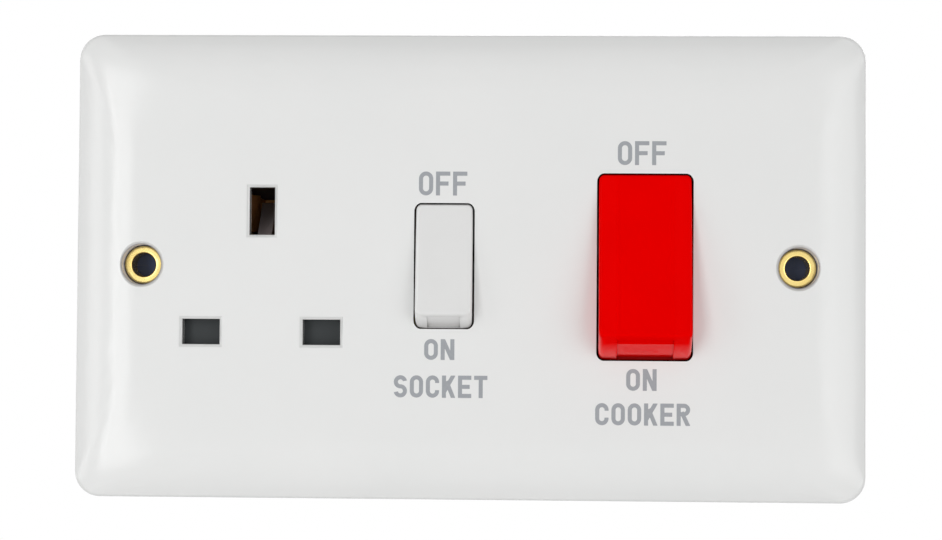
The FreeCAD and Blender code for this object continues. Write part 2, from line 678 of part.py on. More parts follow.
def earth_terminal_screws():
    tip_y = earth_bore_y() + EARTH_BORE / 2 + SEAT_GAP
    rear_y = STRAP_REAR_Y + EARTH_TERMINAL_DEEP + CLAMP_HEAD_RISE
    z = EARTH_TERMINAL_TOP - EARTH_TERMINAL_HIGH / 2
    return Part.makeCompound([slotted_screw(x, z, tip_y, rear_y, EARTH_SCREW, EARTH_SCREW_HEAD, CLAMP_HEAD_HIGH)
                              for x in earth_bores()])


# Sprung sheet jaws in side view: flared mouth, gripping waist, then two straight sides that meet in a flat web
def jaws(mouth_y, web_y):
    waist_y = mouth_y + JAW_LEAD
    spread_y = waist_y + JAW_LEAD
    spread = JAW_MOUTH / 2 - JAW_WAIST_EASE
    inner = [(mouth_y, JAW_MOUTH / 2), (waist_y, JAW_GRIP / 2), (spread_y, spread), (web_y - JAW_SHEET, spread)]
    outer = [(y, half + JAW_SHEET) for y, half in inner[:-1]] + [(web_y, spread + JAW_SHEET)]
    other_outer = [(y, -half) for y, half in outer]
    other_inner = [(y, -half) for y, half in inner]
    return outer + other_outer[::-1] + other_inner + inner[::-1]


def power_contact(x):
    points = [(y, PIN_LINE_Z + across) for y, across in jaws(SHUTTER_REAR_Y + POWER_JAW_BEHIND, POWER_WEB_Y)]
    return prism_along_x(points, x - POWER_JAW_WIDTH / 2, x + POWER_JAW_WIDTH / 2)


# Earth jaws with a tail that leaves the base at the left and comes forward to the strap's ear
def earth_contact():
    points = [(SOCKET_X + across, y) for y, across in jaws(SHUTTER_REAR_Y + EARTH_JAW_BEHIND, FLOOR_Y)]
    half = EARTH_JAW_WIDTH / 2
    z0, z1 = EARTH_SLOT_Z - half, EARTH_SLOT_Z + half
    outside = BASE_LEFT - SEAT_GAP
    tail = joined(
        box(outside - JAW_SHEET, SOCKET_X, FLOOR_Y - JAW_SHEET, FLOOR_Y, z0, z1),
        box(outside - JAW_SHEET, outside, STRAP_REAR_Y, FLOOR_Y, z0, z1),
        box(-FIXING_PITCH / 2 - STRAP_LEG / 4, outside, STRAP_REAR_Y, STRAP_REAR_Y + JAW_SHEET, z0, z1))
    return joined(prism_along_z(points, z0, z1), tail)


# Sliding shutter: pads over the two lower slots, a stem and a ramp in the earth slot's way
def shutter():
    half = SHUTTER_PAD_HIGH / 2
    y0, y1 = SHUTTER_FRONT_Y, SHUTTER_REAR_Y
    slot_low = EARTH_SLOT_Z - EARTH_SLOT_HIGH / 2
    stem_top = slot_low - SHUTTER_STEM_SHY
    bar = box(SOCKET_X - SHUTTER_REACH, SOCKET_X + SHUTTER_REACH, y0, y1, PIN_LINE_Z - half, PIN_LINE_Z + half)
    stem = box(SOCKET_X - SHUTTER_STEM / 2, SOCKET_X + SHUTTER_STEM / 2, y0, y1, PIN_LINE_Z, stem_top)
    ramp_front = y0 + SHUTTER_RAMP_SET
    ramp_rise = SHUTTER_TRAVEL + SHUTTER_RAMP_OVER
    ramp_rear = ramp_front + ramp_rise + SHUTTER_RAMP_BACK
    root = stem_top - SHUTTER_RAMP_ROOT
    low = stem_top + SHUTTER_RAMP_LIP
    points = [(ramp_front, root), (ramp_front, low), (ramp_front + ramp_rise, low + ramp_rise),
              (ramp_rear, low + ramp_rise), (ramp_rear, low), (y1, root)]
    ramp = prism_along_x(points, SOCKET_X - SHUTTER_RAMP_WIDE / 2, SOCKET_X + SHUTTER_RAMP_WIDE / 2)
    return joined(bar, stem, ramp)


def shutter_spring():
    top = PIN_LINE_Z - SHUTTER_PAD_HIGH / 2
    seat = -BASE_HALF_HEIGHT + BASE_WALL
    y = (SHUTTER_FRONT_Y + SHUTTER_REAR_Y) / 2
    return coil(V(SOCKET_X, y, seat), V(0, 0, 1), top - seat, SHUTTER_THICK / 2 - WIRE / 2)


# Strip on the base's floor from the supply terminal down to a contact
def fixed_contact(offset):
    x = COOKER_SWITCH_X + offset
    return box(x - STRIP_WIDTH / 2, x + STRIP_WIDTH / 2, COOKER_SWITCH.strip_y, COOKER_SWITCH.strip_rear_y,
               FIXED_LOW_Z, TERMINAL_INNER_Z)


# Fulcrum post on a strip that leads to the load terminal
def cooker_fulcrum(offset):
    x = COOKER_SWITCH_X + offset
    strip = box(x - STRIP_WIDTH / 2, x + STRIP_WIDTH / 2, COOKER_SWITCH.strip_y, COOKER_SWITCH.strip_rear_y,
                -TERMINAL_INNER_Z, FULCRUM_HALF)
    return joined(strip, COOKER_SWITCH.fulcrum_post(offset))


# Feed from the line supply terminal to the socket switch's fixed contact, stepped back on its way
def line_link():
    switch = SOCKET_SWITCH
    start = COOKER_SWITCH_X - TERMINAL_OFFSET + TERMINAL_WIDTH / 4
    step_from = start - TERMINAL_WIDTH
    step_to = SOCKET_BAY_RIGHT + LINE_LINK_STEP
    left = switch.x - STRIP_WIDTH / 2
    front = [(start, LINK_FRONT_Y), (step_from, LINK_FRONT_Y), (step_to, switch.strip_y),
             (left, switch.strip_y)]
    rear = [(left, switch.strip_rear_y), (step_to, switch.strip_rear_y), (step_from, LINK_REAR_Y),
            (start, LINK_REAR_Y)]
    run = prism_along_z(front + rear, LINE_LINK_Z, LINE_LINK_Z + LINE_LINK_HIGH)
    leg = box(left, left + STRIP_WIDTH, switch.strip_y, switch.strip_rear_y, FIXED_LOW_Z,
              LINE_LINK_Z + LINE_LINK_HIGH)
    return joined(run, leg)


# Neutral feed: ahead of the line terminal, along the top and down to the neutral contact
def neutral_link():
    start = COOKER_SWITCH_X + TERMINAL_OFFSET + TERMINAL_WIDTH / 4
    step_from = COOKER_SWITCH_X + TERMINAL_OFFSET - TERMINAL_WIDTH / 2
    step_to = COOKER_SWITCH_X - TERMINAL_OFFSET + TERMINAL_WIDTH / 2
    left = NEUTRAL_LEG_X - NEUTRAL_LEG_HALF
    front = [(start, LINK_FRONT_Y), (step_from, LINK_FRONT_Y), (step_to, NEUTRAL_RUN_FRONT_Y),
             (left, NEUTRAL_RUN_FRONT_Y)]
    rear = [(left, NEUTRAL_RUN_REAR_Y), (step_to, NEUTRAL_RUN_REAR_Y), (step_from, LINK_REAR_Y),
            (start, LINK_REAR_Y)]
    run = prism_along_z(front + rear, NEUTRAL_LINK_Z, NEUTRAL_LINK_Z + NEUTRAL_LINK_HIGH)
    jaw_top = PIN_LINE_Z + JAW_MOUTH / 2 - JAW_WAIST_EASE + JAW_SHEET
    leg = box(left, left + 2 * NEUTRAL_LEG_HALF, NEUTRAL_RUN_FRONT_Y, NEUTRAL_RUN_REAR_Y, jaw_top,
              NEUTRAL_LINK_Z + NEUTRAL_LINK_HIGH)
    return joined(run, leg)


# Socket switch's fulcrum on a strip that leads to the line contact's web
def socket_fulcrum():
    switch = SOCKET_SWITCH
    half = STRIP_WIDTH / 2
    y0, y1 = switch.strip_y, switch.strip_rear_y
    down = box(switch.x - half, switch.x + half, y0, y1, PIN_LINE_Z - half, FULCRUM_HALF)
    across = box(LINE_X - half, switch.x + half, y0, y1, PIN_LINE_Z - half, PIN_LINE_Z + half)
    return joined(down, across, switch.fulcrum_post(0))


def base_screw_places():
    return [(x, side * BASE_LUG_Z) for x in BASE_LUG_X for side in SIDES]


def base_screws():
    under_head = STRAP_FRONT_Y + BASE_LUG_THICK
    tip_y = WALL_Y + BASE_SCREW_SHY
    return Part.makeCompound([slotted_screw(x, z, tip_y, under_head, BASE_SCREW, BASE_SCREW_HEAD,
                                            BASE_SCREW_HEAD_HIGH) for x, z in base_screw_places()])


# Rear moulding: a tray behind the plate with bays for the gear, wells for the terminals and screw lugs
def rear_base():
    top = BASE_HALF_HEIGHT
    inner = top - BASE_WALL
    body = box(BASE_LEFT, BASE_RIGHT, WALL_Y, BASE_REAR_Y, -top, top)
    body = body.makeFillet(BASE_ROUND, [edge for edge in body.Edges if edge.CenterOfMass.y > WALL_Y + PAST])
    lugs = []
    for x, z in base_screw_places():
        rear = STRAP_FRONT_Y + BASE_LUG_THICK
        lugs.append(rod(BASE_LUG, V(x, STRAP_FRONT_Y, z), V(x, rear, z)))
        z0, z1 = sorted((z, math.copysign(inner, z)))
        lugs.append(box(x - BASE_LUG / 2, x + BASE_LUG / 2, STRAP_FRONT_Y, rear, z0, z1))
    body = body.fuse(lugs)
    bay_left = BASE_LEFT + BASE_WALL
    bay = box(bay_left, SOCKET_BAY_RIGHT, WALL_Y - PAST, FLOOR_Y, -inner, inner)
    lug = V(-FIXING_PITCH / 2, WALL_Y - 2, 0)
    lug_end = V(-FIXING_PITCH / 2, BASE_REAR_Y + PAST, 0)
    bay = bay.cut(rod(2 * (WALL_BOX_LUG + BASE_WALL), lug, lug_end))
    body = body.cut(rod(2 * WALL_BOX_LUG, lug, lug_end))
    cuts = [bay]
    xc = COOKER_SWITCH_X
    ahead = WALL_Y - PAST
    cuts.append(box(xc - ROCKER_BAY_X, xc + ROCKER_BAY_X, ahead, ROCKER_BAY_Y, -ROCKER_BAY_HALF,
                    ROCKER_BAY_HALF))
    cuts.append(box(xc - GEAR_BAY_X, xc + GEAR_BAY_X, ahead, FLOOR_Y, -GEAR_BAY_HALF, GEAR_BAY_HALF))
    for side_x in SIDES:
        strip_x = xc + side_x * POLE_OFFSET
        half = STRIP_WIDTH / 2 + SEAT_GAP
        cuts.append(box(strip_x - half, strip_x + half, COOKER_SWITCH.strip_y - SEAT_GAP, FLOOR_Y,
                        -TERMINAL_INNER_Z, TERMINAL_INNER_Z))
        for side_z in SIDES:
            x = xc + side_x * TERMINAL_OFFSET
            half = TERMINAL_WIDTH / 2 + SEAT_GAP
            z0, z1 = sorted((side_z * TERMINAL_INNER_Z, side_z * (top + PAST)))
            cuts.append(box(x - half, x + half, TERMINAL_FRONT_Y, BASE_REAR_Y + PAST, z0, z1))
    half = EARTH_TERMINAL_WIDTH / 2 + SLIDE_GAP
    cuts.append(box(EARTH_TERMINAL_X - half, EARTH_TERMINAL_X + half, ahead, BASE_REAR_Y + PAST, -top - PAST,
                    EARTH_TERMINAL_TOP + SLIDE_GAP))
    cuts.extend(link_channels())
    half = EARTH_JAW_WIDTH / 2 + SEAT_GAP
    tail_front_y = FLOOR_Y - JAW_SHEET - SEAT_GAP
    cuts.append(box(BASE_LEFT - PAST, bay_left + PAST, tail_front_y, FLOOR_Y, EARTH_SLOT_Z - half,
                    EARTH_SLOT_Z + half))
    for x, z in base_screw_places():
        cuts.append(rod(BASE_SCREW + 4 * SCREW_GAP, V(x, WALL_Y, z), V(x, BASE_REAR_Y, z)))
    cuts.append(box(FIELD_LEFT, FIELD_RIGHT, BASE_REAR_Y - FIELD_DEEP, BASE_REAR_Y + PAST, -FIELD_HALF,
                    FIELD_HALF))
    for x, z in EJECTOR_PLACES:
        cuts.append(rod(EJECTOR_MARK, V(x, BASE_REAR_Y - EJECTOR_DEEP, z), V(x, BASE_REAR_Y + PAST, z)))
    body = body.cut(cuts[0].fuse(cuts[1:]))
    return body.fuse(base_supports()).removeSplitter()


# Ways through the base's front for the two link strips
def link_channels():
    gap = SEAT_GAP
    line_end = COOKER_SWITCH_X - TERMINAL_OFFSET + TERMINAL_WIDTH / 2
    neutral_end = COOKER_SWITCH_X + TERMINAL_OFFSET + TERMINAL_WIDTH / 2
    line_z = (LINE_LINK_Z - gap, LINE_LINK_Z + LINE_LINK_HIGH + gap)
    neutral_z = (NEUTRAL_LINK_Z - gap, NEUTRAL_LINK_Z + NEUTRAL_LINK_HIGH + gap)
    step_left = COOKER_SWITCH_X - ROCKER_BAY_X
    ahead = WALL_Y - PAST
    bay_side = SOCKET_BAY_RIGHT - PAST
    return [
        box(step_left, line_end, ahead, LINK_REAR_Y, *line_z),
        box(bay_side, step_left + PAST, ahead, SOCKET_SWITCH.strip_rear_y + gap, *line_z),
        box(line_end, neutral_end, ahead, LINK_REAR_Y, *neutral_z),
        box(bay_side, neutral_end, ahead, NEUTRAL_RUN_REAR_Y, *neutral_z),
    ]


# Pillars on the floor that carry the contacts, the links and the shutter
def base_supports():
    switch = SOCKET_SWITCH
    half = STRIP_WIDTH / 2
    rib = NEUTRAL_LEG_HALF
    pads = [
        box(NEUTRAL_X - half, NEUTRAL_X + half, POWER_WEB_Y, FLOOR_Y, PIN_LINE_Z - half, PIN_LINE_Z + half),
        box(LINE_X - half, LINE_X + half, switch.strip_rear_y, FLOOR_Y, PIN_LINE_Z - half, PIN_LINE_Z + half),
        box(switch.x - half, switch.x + half, switch.strip_rear_y, FLOOR_Y, -FULCRUM_HALF, FULCRUM_HALF),
        box(switch.x - half, switch.x + half, switch.strip_rear_y, FLOOR_Y, FIXED_LOW_Z,
            LINE_LINK_Z + LINE_LINK_HIGH),
        box(NEUTRAL_LEG_X - rib, NEUTRAL_LEG_X + rib, NEUTRAL_RUN_REAR_Y, FLOOR_Y,
            EARTH_SLOT_Z + EARTH_JAW_WIDTH / 2 + RIB_MARGIN, BASE_HALF_HEIGHT - BASE_WALL),
        box(SOCKET_X - SHUTTER_REST_HALF, SOCKET_X + SHUTTER_REST_HALF, SHUTTER_REAR_Y + SLIDE_GAP, FLOOR_Y,
            PIN_LINE_Z - SHUTTER_PAD_HIGH / 2, PIN_LINE_Z + SHUTTER_PAD_HIGH / 2),
    ]
    pads.extend(switch.keepers(FLOOR_Y))
    pads.extend(COOKER_SWITCH.keepers(ROCKER_BAY_Y))
    return pads


def all_parts():
    parts = {
        "front_plate": front_plate(),
        "rear_base": rear_base(),
        "base_screws": base_screws(),
        "fixing_eyelet_left": eyelet(-1),
        "fixing_eyelet_right": eyelet(1),
        "earth_strap": earth_strap(),
        "earth_terminal": earth_terminal(),
        "earth_terminal_screws": earth_terminal_screws(),
        "earth_contact": earth_contact(),
        "neutral_contact": power_contact(NEUTRAL_X),
        "line_contact": power_contact(LINE_X),
        "shutter": shutter(),
        "shutter_spring": shutter_spring(),
        "line_link": line_link(),
        "neutral_link": neutral_link(),
        "socket_fulcrum": socket_fulcrum(),
        "cooker_terminal_screws": cooker_terminal_screws(),
    }
    tips = []
    for name, switch in (("socket", SOCKET_SWITCH), ("cooker", COOKER_SWITCH)):
        parts[name + "_rocker"] = switch.at_rest(switch.rocker())
        for offset in switch.poles:
            pole = name if len(switch.poles) == 1 else name + ("_line" if offset < 0 else "_neutral")
            parts[pole + "_plunger"] = switch.at_rest(switch.plunger(offset))
            parts[pole + "_plunger_spring"] = switch.at_rest(switch.spring(offset))
            parts[pole + "_contact_arm"] = switch.arm_at_rest(switch.arm(offset))
            parts[pole + "_moving_tip"] = switch.arm_at_rest(switch.moving_tip(offset))
            tips.append(switch.fixed_tip(offset))
    parts["fixed_contact_tips"] = Part.makeCompound(tips)
    for side, pole in ((-1, "line"), (1, "neutral")):
        parts["cooker_" + pole + "_fixed_contact"] = fixed_contact(side * POLE_OFFSET)
        parts["cooker_" + pole + "_fulcrum"] = cooker_fulcrum(side * POLE_OFFSET)
        parts["supply_" + pole + "_terminal"] = cooker_terminal(side, 1)
        parts["load_" + pole + "_terminal"] = cooker_terminal(side, -1)
    return parts


os.makedirs("parts", exist_ok=True)
for node, shape in all_parts().items():
    print(node, "solids", len(shape.Solids), "valid", shape.isValid(), "volume", round(shape.Volume, 2))
    shape.exportStep("parts/" + node + ".step")
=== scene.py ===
import bmesh
import bpy
import json
import math
from mathutils import Matrix, Vector

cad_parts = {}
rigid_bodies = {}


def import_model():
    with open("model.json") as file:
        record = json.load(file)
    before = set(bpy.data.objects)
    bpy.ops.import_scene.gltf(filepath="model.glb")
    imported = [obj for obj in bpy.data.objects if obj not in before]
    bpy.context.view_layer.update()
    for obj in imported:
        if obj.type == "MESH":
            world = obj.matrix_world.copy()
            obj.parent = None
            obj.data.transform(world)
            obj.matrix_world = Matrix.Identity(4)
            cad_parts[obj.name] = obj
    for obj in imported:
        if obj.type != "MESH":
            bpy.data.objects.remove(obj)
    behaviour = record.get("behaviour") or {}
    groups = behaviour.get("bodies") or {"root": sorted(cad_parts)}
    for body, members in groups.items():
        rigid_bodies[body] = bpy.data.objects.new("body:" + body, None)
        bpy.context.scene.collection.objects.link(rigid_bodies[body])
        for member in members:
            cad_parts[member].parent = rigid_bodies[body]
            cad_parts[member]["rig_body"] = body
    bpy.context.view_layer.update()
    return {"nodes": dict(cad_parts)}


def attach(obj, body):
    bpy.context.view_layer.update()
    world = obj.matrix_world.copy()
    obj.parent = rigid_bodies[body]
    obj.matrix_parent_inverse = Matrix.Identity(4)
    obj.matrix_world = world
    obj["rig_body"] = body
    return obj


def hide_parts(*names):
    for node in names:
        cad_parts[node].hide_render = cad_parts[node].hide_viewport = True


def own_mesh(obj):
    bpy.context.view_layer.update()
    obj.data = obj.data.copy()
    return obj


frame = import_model()

# Sizes of the unit in millimetres, from the wall behind the plate's middle: X runs right, Y into the wall and Z up
MM = 0.001
FACE_Y = -9.0
EYELET_X = 60.3
COOKER_X = 32.3
MOUTH_RADIUS = 4.32
SHUTTER_TRAVEL = 6.0
PLUNGER_TRAVEL = 0.8


def way_out(lean):
    """The way a rocker faces when it is tilted up by some degrees."""
    return Vector((0.0, -math.cos(math.radians(lean)), math.sin(math.radians(lean))))


# At rest each rocker is tilted up by half of its travel
SOCKET_OUT = way_out(8)
COOKER_OUT = way_out(10)

# --- colour and shader helpers ---

# Shares of open room at which a gap counts as tight and as free, for the shade painted into gaps
TIGHT_ROOM = 0.15
FREE_ROOM = 0.65
# Strength of the stain pattern at which a stain begins and is full
STAIN_BEGINS = 0.3
STAIN_FULL = 0.7


def colour(code):
    """A linear colour from an sRGB hex value."""
    parts = [int(code[i:i + 2], 16) / 255 for i in (1, 3, 5)]
    linear = [p / 12.92 if p <= 0.04045 else ((p + 0.055) / 1.055) ** 2.4 for p in parts]
    return tuple(linear) + (1.0,)


def add(tree, kind, sockets, **settings):
    """A node with its settings; each socket takes a value, or a link where another node's output is given."""
    node = tree.nodes.new(kind)
    for name, value in settings.items():
        setattr(node, name, value)
    for name, value in sockets.items():
        if isinstance(value, bpy.types.NodeSocket):
            tree.links.new(value, node.inputs[name])
        else:
            node.inputs[name].default_value = value
    return node


def empty_tree(owner):
    """The node tree of a material or a world, cleared."""
    owner.use_nodes = True
    owner.node_tree.nodes.clear()
    return owner.node_tree


def moulding(name, main, shade, gap_shade, cloud, grain, depth, roughness, ior=1.5, reach=1.0):
    """A moulded plastic: clouds of a second shade, a fine grain from the tool's wall and a gloss that varies with it.
    Shade is painted into gaps, where the colour falls to the gap shade. cloud and grain are the sizes of the two
    patterns, depth is the height of the grain and reach is how wide a gap counts as tight, all in millimetres."""
    made = bpy.data.materials.new(name)
    tree = empty_tree(made)
    place = add(tree, "ShaderNodeTexCoord", {}).outputs["Object"]
    clouds = add(tree, "ShaderNodeTexNoise", {"Vector": place, "Scale": 1 / (cloud * MM), "Detail": 4.0})
    grains = add(tree, "ShaderNodeTexNoise", {"Vector": place, "Scale": 1 / (grain * MM), "Detail": 2.0})
    tint = add(tree, "ShaderNodeMix", {0: clouds.outputs["Fac"], 6: colour(main), 7: colour(shade)},
               data_type="RGBA")
    # Painted shade: the colour darkens to the gap shade where an occlusion test finds little open room
    room = add(tree, "ShaderNodeAmbientOcclusion", {"Distance": reach * MM}, samples=8)
    free = add(tree, "ShaderNodeMapRange", {"Value": room.outputs["AO"], "From Min": TIGHT_ROOM,
                                            "From Max": FREE_ROOM})
    gap_shaded = add(tree, "ShaderNodeMix", {0: free.outputs["Result"], 6: colour(gap_shade), 7: tint.outputs[2]},
                 data_type="RGBA")
    gloss = add(tree, "ShaderNodeMapRange", {"Value": grains.outputs["Fac"], "To Min": roughness[0],
                                             "To Max": roughness[1]})
    relief = add(tree, "ShaderNodeBump", {"Height": grains.outputs["Fac"], "Distance": depth * MM})
    skin = add(tree, "ShaderNodeBsdfPrincipled", {"Base Color": gap_shaded.outputs[2],
                                                  "Roughness": gloss.outputs["Result"],
                                                  "Normal": relief.outputs["Normal"], "IOR": ior})
    add(tree, "ShaderNodeOutputMaterial", {"Surface": skin.outputs["BSDF"]})
    return made


def metal(name, bright, dull, stain, line, depth, roughness, drawn, bare=1.0):
    """A worked metal: stains of a duller shade and fine lines left by drawing or rolling.
    stain and line are sizes in millimetres, depth is the height of the lines, and drawn stretches them along Z.
    bare is the share of a stain that is still clean metal."""
    made = bpy.data.materials.new(name)
    tree = empty_tree(made)
    place = add(tree, "ShaderNodeTexCoord", {}).outputs["Object"]
    along = add(tree, "ShaderNodeMapping", {"Vector": place, "Scale": (1.0, 1.0, 1.0 / drawn)})
    stains = add(tree, "ShaderNodeTexNoise", {"Vector": place, "Scale": 1 / (stain * MM), "Detail": 5.0})
    lines = add(tree, "ShaderNodeTexNoise", {"Vector": along.outputs["Vector"], "Scale": 1 / (line * MM),
                                             "Detail": 2.0})
    tint = add(tree, "ShaderNodeMix", {0: stains.outputs["Fac"], 6: colour(bright), 7: colour(dull)},
               data_type="RGBA")
    gloss = add(tree, "ShaderNodeMapRange", {"Value": stains.outputs["Fac"], "To Min": roughness[0],
                                             "To Max": roughness[1]})
    relief = add(tree, "ShaderNodeBump", {"Height": lines.outputs["Fac"], "Distance": depth * MM})
    unmarked = add(tree, "ShaderNodeMapRange", {"Value": stains.outputs["Fac"], "From Min": STAIN_BEGINS,
                                             "From Max": STAIN_FULL, "To Min": 1.0, "To Max": bare})
    skin = add(tree, "ShaderNodeBsdfPrincipled", {"Base Color": tint.outputs[2],
                                                  "Roughness": gloss.outputs["Result"],
                                                  "Normal": relief.outputs["Normal"],
                                                  "Metallic": unmarked.outputs["Result"]})
    add(tree, "ShaderNodeOutputMaterial", {"Surface": skin.outputs["BSDF"]})
    return made


# --- painted shade and light, darker bevels and worn gloss, which are laid over a moulding ---

# Where the painted shade and light and the darker bevels begin and where they are full, in millimetres: a radius
# round an eyelet, two distances from the wall and a height on the shutter
COUNTERBORE_SHADE_RADIUS = (3.9, 3.72)
BEVEL_DARKENING = (8.97, 8.85)
WALL_SHADE = (8.5, 8.2)
RAMP_LIGHT = (5.3, 5.8)
# Shares of the clean colour hidden by the darker tone on the bevels and by the painted shade on the walls
BEVEL_DARKENING_COVER = 0.13
WALL_SHADE_COVER = 0.62
# The part of the plate that holds the slots: its half width, its half height and its least distance from the wall
SLOT_HALF_WIDE = 56
SLOT_HALF_HIGH = 31
SLOT_FRONT = 6.5

# The red rocker's gloss changes between these places on the way in, in millimetres
RUBBED = (-10.3, -8.0)
FACE_EDGE = (-11.4, -11.0)
RECESS_LIP = (-9.7, -9.55)
# Radii round its pivot between which the tool's gloss ends, and half the width of the recess
END_SKIN = (18.75, 18.95)
RECESS_HALF = 5.2
# Its shine: where the edge of the aperture rubs most, where it rubs least, and as it came from the tool
RUBBED_SHINE = 0.01
SPARED_SHINE = 0.6
TOOL_SHINE = 0.5


def lay_over(finish, cover, shade):
    """Lays a shade over a finish; cover is the output that says how much of the finish it hides."""
    tree = finish.node_tree
    skin = tree.nodes["Principled BSDF"]
    both = add(tree, "ShaderNodeMix", {0: cover, 6: skin.inputs["Base Color"].links[0].from_socket,
                                       7: colour(shade)}, data_type="RGBA")
    tree.links.new(both.outputs[2], skin.inputs["Base Color"])


def counterbore_shade(finish, shade):
    """Paints shade grey into the counterbores round the eyelets, where their walls lie in shade."""
    tree = finish.node_tree
    place = add(tree, "ShaderNodeTexCoord", {}).outputs["Object"]
    either = add(tree, "ShaderNodeVectorMath", {0: place}, operation="ABSOLUTE")
    off_axis = add(tree, "ShaderNodeVectorMath", {0: either.outputs["Vector"], 1: (EYELET_X * MM, 0.0, 0.0)},
                   operation="SUBTRACT")
    flat = add(tree, "ShaderNodeVectorMath", {0: off_axis.outputs["Vector"], 1: (1.0, 0.0, 1.0)},
               operation="MULTIPLY")
    radius = add(tree, "ShaderNodeVectorMath", {0: flat.outputs["Vector"]}, operation="LENGTH")
    cover = add(tree, "ShaderNodeMapRange", {"Value": radius.outputs["Value"], "From Min": COUNTERBORE_SHADE_RADIUS[0] * MM,
                                             "From Max": COUNTERBORE_SHADE_RADIUS[1] * MM})
    lay_over(finish, cover.outputs["Result"], shade)


def slot_darkening(finish, shade):
    """Darkens the bevels of the slots a little and paints shade on their walls; the slots lie in the flat of the face.
    """
    tree = finish.node_tree
    place = add(tree, "ShaderNodeTexCoord", {}).outputs["Object"]
    either = add(tree, "ShaderNodeVectorMath", {0: place}, operation="ABSOLUTE")
    spread = add(tree, "ShaderNodeSeparateXYZ", {"Vector": either.outputs["Vector"]})
    bevels = add(tree, "ShaderNodeMapRange", {"Value": spread.outputs["Y"], "From Min": BEVEL_DARKENING[0] * MM,
                                              "From Max": BEVEL_DARKENING[1] * MM, "To Max": BEVEL_DARKENING_COVER})
    walls = add(tree, "ShaderNodeMapRange", {"Value": spread.outputs["Y"], "From Min": WALL_SHADE[0] * MM,
                                             "From Max": WALL_SHADE[1] * MM, "To Max": WALL_SHADE_COVER})
    cover = add(tree, "ShaderNodeMath", {0: bevels.outputs["Result"], 1: walls.outputs["Result"]}, operation="ADD")
    for way, limit, side in (("X", SLOT_HALF_WIDE, "LESS_THAN"), ("Z", SLOT_HALF_HIGH, "LESS_THAN"),
                             ("Y", SLOT_FRONT, "GREATER_THAN")):
        zone = add(tree, "ShaderNodeMath", {0: spread.outputs[way], 1: limit * MM}, operation=side)
        cover = add(tree, "ShaderNodeMath", {0: cover.outputs[0], 1: zone.outputs[0]}, operation="MULTIPLY")
    lay_over(finish, cover.outputs[0], shade)


def aperture_shade(finish, out, unmarked, darkest, shade, most):
    """Paints shade on the last of a rocker's proud end, where it goes down into the aperture, and returns its cover.
    unmarked and darkest are places on the way in, in millimetres, and most is the share of the finish hidden at
    darkest."""
    tree = finish.node_tree
    place = add(tree, "ShaderNodeTexCoord", {}).outputs["Object"]
    inward = add(tree, "ShaderNodeVectorMath", {0: place, 1: -out}, operation="DOT_PRODUCT")
    cover = add(tree, "ShaderNodeMapRange", {"Value": inward.outputs["Value"], "From Min": unmarked * MM,
                                             "From Max": darkest * MM, "To Max": most})
    lay_over(finish, cover.outputs["Result"], shade)
    return cover.outputs["Result"]


def rub(finish, aperture_shaded):
    """Dulls the red rocker where it is handled. The finger dulls its face and the top of the recess, and the
    aperture's edge dulls its ends, most near the crease. The sides and the rest of the recess keep the gloss of the
    tool. The shade painted at the aperture hides the gloss with the colour."""
    tree = finish.node_tree
    place = add(tree, "ShaderNodeTexCoord", {}).outputs["Object"]
    spread = add(tree, "ShaderNodeSeparateXYZ", {"Vector": place})
    inward = add(tree, "ShaderNodeVectorMath", {0: place, 1: -COOKER_OUT}, operation="DOT_PRODUCT")
    flat = add(tree, "ShaderNodeVectorMath", {0: place, 1: (0.0, 1.0, 1.0)}, operation="MULTIPLY")
    radius = add(tree, "ShaderNodeVectorMath", {0: flat.outputs["Vector"]}, operation="LENGTH")
    ends = add(tree, "ShaderNodeMapRange", {"Value": inward.outputs["Value"], "From Min": RUBBED[0] * MM,
                                            "From Max": RUBBED[1] * MM, "To Min": RUBBED_SHINE,
                                            "To Max": SPARED_SHINE})
    tool = add(tree, "ShaderNodeMapRange", {"Value": radius.outputs["Value"], "From Min": END_SKIN[0] * MM,
                                            "From Max": END_SKIN[1] * MM, "To Min": TOOL_SHINE, "To Max": 0.0})
    under_face = add(tree, "ShaderNodeMapRange", {"Value": inward.outputs["Value"], "From Min": FACE_EDGE[0] * MM,
                                                  "From Max": FACE_EDGE[1] * MM})
    under_lip = add(tree, "ShaderNodeMapRange", {"Value": inward.outputs["Value"], "From Min": RECESS_LIP[0] * MM,
                                                 "From Max": RECESS_LIP[1] * MM})
    in_recess = add(tree, "ShaderNodeMath", {0: spread.outputs["X"], 1: COOKER_X * MM, 2: RECESS_HALF * MM},
                    operation="COMPARE")
    sides = add(tree, "ShaderNodeMath", {0: tool.outputs["Result"], 1: under_face.outputs["Result"]},
                operation="MULTIPLY")
    recess = add(tree, "ShaderNodeMath", {0: tool.outputs["Result"], 1: under_lip.outputs["Result"]},
                 operation="MULTIPLY")
    outside = add(tree, "ShaderNodeMath", {0: ends.outputs["Result"], 1: sides.outputs[0]}, operation="MAXIMUM")
    shine = add(tree, "ShaderNodeMix", {0: in_recess.outputs[0], 2: outside.outputs[0], 3: recess.outputs[0]})
    clear = add(tree, "ShaderNodeMath", {0: 1.0, 1: aperture_shaded}, operation="SUBTRACT")
    shown = add(tree, "ShaderNodeMath", {0: shine.outputs[0], 1: clear.outputs[0]}, operation="MULTIPLY")
    tree.links.new(shown.outputs[0], tree.nodes["Principled BSDF"].inputs["Specular IOR Level"])


def light_on_ramp(finish, shade):
    """Paints the shutter's ramp paler, behind the earth slot, for the light that falls in through the slot."""
    tree = finish.node_tree
    place = add(tree, "ShaderNodeTexCoord", {}).outputs["Object"]
    spread = add(tree, "ShaderNodeSeparateXYZ", {"Vector": place})
    cover = add(tree, "ShaderNodeMapRange", {"Value": spread.outputs["Z"], "From Min": RAMP_LIGHT[0] * MM,
                                             "From Max": RAMP_LIGHT[1] * MM})
    lay_over(finish, cover.outputs["Result"], shade)


# --- materials ---

